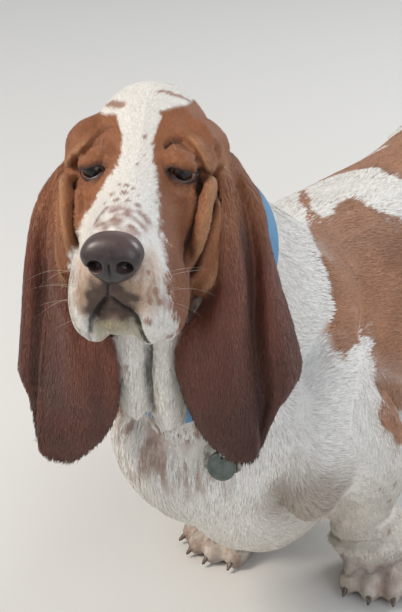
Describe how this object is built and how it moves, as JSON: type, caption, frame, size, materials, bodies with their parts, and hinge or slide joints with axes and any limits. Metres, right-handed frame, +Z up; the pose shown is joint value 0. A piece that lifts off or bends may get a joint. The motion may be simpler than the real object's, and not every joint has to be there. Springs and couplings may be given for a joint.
{
  "type": "basset hound",
  "caption": "Life-size standing basset hound with long hanging ears, folded skin and heavy paws, wearing a collar with two tags.",
  "frame": {"origin": "on the floor, at the middle of the bounding box", "axes": "-Y the way the body faces, +X the dog's left side, +Z up"},
  "size_m": [0.2756, 1.1148, 0.5329],
  "materials": {
    "coat": "short smooth fur, white with red-brown patches",
    "ear_coat": "short fine fur, dark red-brown",
    "eye": "wet gloss, dark brown",
    "nose_leather": "moist pebbled skin, dark purple-brown",
    "claw": "worn horn, dark brown",
    "collar_web": "light blue woven webbing",
    "tag_metal": "worn satin grey"
  },
  "bodies": {
    "root": {"head": "coat", "neck": "coat", "torso": "coat", "tail": "coat", "foreleg_left": "coat", "foreleg_right": "coat", "hindleg_left": "coat", "hindleg_right": "coat", "ear_left": "ear_coat", "ear_right": "ear_coat", "eye_left": "eye", "eye_right": "eye", "nose": "nose_leather", "claw_fore_left_1": "claw", "claw_fore_left_2": "claw", "claw_fore_left_3": "claw", "claw_fore_left_4": "claw", "claw_fore_right_1": "claw", "claw_fore_right_2": "claw", "claw_fore_right_3": "claw", "claw_fore_right_4": "claw", "claw_hind_left_1": "claw", "claw_hind_left_2": "claw", "claw_hind_left_3": "claw", "claw_hind_left_4": "claw", "claw_hind_right_1": "claw", "claw_hind_right_2": "claw", "claw_hind_right_3": "claw", "claw_hind_right_4": "claw", "collar": "collar_web", "tag_loop": "tag_metal", "tag_ring": "tag_metal", "tag_bone": "tag_metal", "tag_disc": "tag_metal"}
  },
  "joints": []
}
